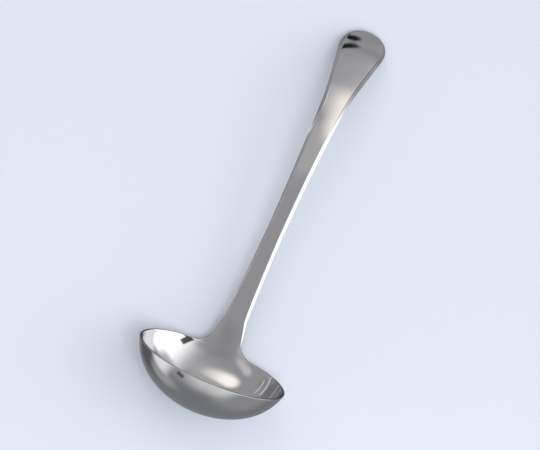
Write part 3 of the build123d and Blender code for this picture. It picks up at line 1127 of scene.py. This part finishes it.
# %% Beyond the tip and on the left
colour = paint_glow(colour, grey(0.53, -0.02), sky(-5, 84), 14, 40)
colour = paint_glow(colour, grey(0.43), level(-2, 10), 2, 14)
# The dimple in the tip shows these as dark wedges
colour = paint_panel(colour, grey(0.01), level(-19, 7.4), 0.135, 0.050, 0.032)
colour = paint_glow(colour, grey(0.01), level(-11.6, 7.4), 2.4, 4.8)
# A dark place beyond the tip and below the table
colour = paint_glow(colour, grey(0.10), level(0, -36), 8, 16)
# The left side, and two thin strips of light that the bowl shows at its right end
colour = paint_glow(colour, grey(0.40, -0.01), sky(-71, 5), 7, 16)
colour = paint_glow(colour, grey(0.25), sky(-98, 34), 10, 26)
colour = paint_glow(colour, grey(0.20), sky(-108, 66), 10, 28)
colour = paint_panel(colour, grey(1.20), level(-82, 6), 0.36, 0.010, 0.018)
colour = paint_panel(colour, grey(1.05), level(-78, 21), 0.26, 0.010, 0.018)
print("nodes of the room so far:", len(room.nodes))

# %% In front of the bowl
# A broad light, a dark place low on the left, and a grey one beside it
colour = paint_glow(colour, grey(1.00, 0.01), sky(4, -63), 4, 40)
colour = paint_glow(colour, grey(0.15), (-0.77, -0.16, -0.62), 12, 32)
colour = paint_glow(colour, grey(0.50), sky(-76, -92), 8, 22)
# A soft panel and a small dark gap, which show on the outside of the bowl
colour = paint_panel(colour, grey(1.25, 0.01), (-0.766, -0.643, 0.02), 0.10, 0.30, 0.24)
colour = paint_panel(colour, grey(0.14), sky(-35.5, -76.5), 0.055, 0.045, 0.03)
room.links.new(colour, room.nodes["Background"].inputs["Color"])
print("the room has", len(room.nodes), "nodes")

# %% [markdown]
# ## Two soft cards close to the bend
#
# The bend of the handle shows a warm lamp that the bowl doesn't show, and it doesn't show the
# bowl's lamp, though both look the same way. Nothing painted on the sky can do that, because
# the sky is equally far from all of the ladle. So two cards hang near it: a warm one high
# beyond the tip, and a grey one that hides the bowl's lamp from the bend. Each fades to
# nothing at its edges. Only mirror rays see them, so they throw no shadow and stay out of the
# picture.

# %% Soft cards
def soft_card(name, towards, start, distance, half_sizes, core, roll, colour):
    """A card at a distance from the start, facing it, turned in its own plane by the roll. It
    glows evenly over its core, a share of its half sizes, and fades to nothing at its edges,
    along each side by itself."""
    card = flat_sheet(name, *half_sizes)
    towards = Vector(towards).normalized()
    card.location = Vector(start) * MM + towards * distance * MM
    facing = towards.to_track_quat("Z", "Y") @ Quaternion((0, 0, 1), np.radians(roll))
    card.rotation_euler = facing.to_euler()
    glowing, tree = new_material(name)
    tree.nodes.remove(tree.nodes["Principled BSDF"])
    place = put(tree, "ShaderNodeTexCoord").outputs["Object"]
    axes = put(tree, "ShaderNodeSeparateXYZ", {0: place}).outputs
    shares = [
        ramp(tree, work_out(tree, "ABSOLUTE", axis), half * MM, core * half * MM)
        for axis, half in zip(axes, half_sizes)
    ]
    share = work_out(tree, "MULTIPLY", *shares)
    light = put(tree, "ShaderNodeEmission", {"Color": (*colour, 1)}).outputs[0]
    clear = put(tree, "ShaderNodeBsdfTransparent").outputs[0]
    mixed = put(tree, "ShaderNodeMixShader", {0: share, 1: clear, 2: light}).outputs[0]
    tree.links.new(mixed, tree.nodes["Material Output"].inputs["Surface"])
    card.data.materials.append(glowing)
    card.visible_camera = card.visible_diffuse = card.visible_shadow = False
    return card


palm_lamp = soft_card(
    "palm_lamp", sky(15.2, 46.3), start=(0.0, 50.0, 45.0), distance=330.0,
    half_sizes=(150.0, 196.0), core=0.28, roll=17.0, colour=grey(1.54, 0.07),
)
bend_shade = soft_card(
    "bend_shade", sky(-8.5, 17), start=(0.0, 30.0, 50.0), distance=180.0,
    half_sizes=(52.0, 94.0), core=0.52, roll=0.0, colour=grey(0.62, 0.01),
)
for card in (palm_lamp, bend_shade):
    print(card.name, "at", [round(v, 2) for v in card.location])

# %% [markdown]
# ## The key light
#
# The painted room gives the metal its reflections, but the floor needs a light with a place,
# or the ladle would seem to float. A soft lamp above the bowl does that. It is kept out of
# the mirror rays, because the lamps that the metal should show are in the room already. The
# picture is shown with the plain view transform, which keeps the white panel white.

# %% Key light
KEY_POWER = 7.0         # watts
KEY_SIZE = 0.5          # metres, as is its place
KEY_PLACE = Vector((0.35, -0.7, 1.3))
key_data = bpy.data.lights.new("key", "AREA")
key_data.energy = KEY_POWER
key_data.size = KEY_SIZE
key = bpy.data.objects.new("key", key_data)
key.location = KEY_PLACE
key.rotation_euler = KEY_PLACE.to_track_quat("Z", "Y").to_euler()
key.visible_glossy = False
bpy.context.scene.collection.objects.link(key)
bpy.context.scene.view_settings.view_transform = "Standard"
print("key light", round(KEY_PLACE.length, 2), "m from the ladle")

# %% [markdown]
# ## Handing the pieces over
#
# The imported solids are still in the scene. Each of the three surfaces takes the place of the
# solid that it was made for, and moves with the same body.

# %% Which solid each piece stands for
for piece, node, finish in ((bowl, "bowl", "polished_bowl"), (weld, "weld_seam", "weld_metal"),
                            (handle, "handle", "polished_handle")):
    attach(piece, "root")
    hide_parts(node)
    print(piece.name, "stands for the solid", node)
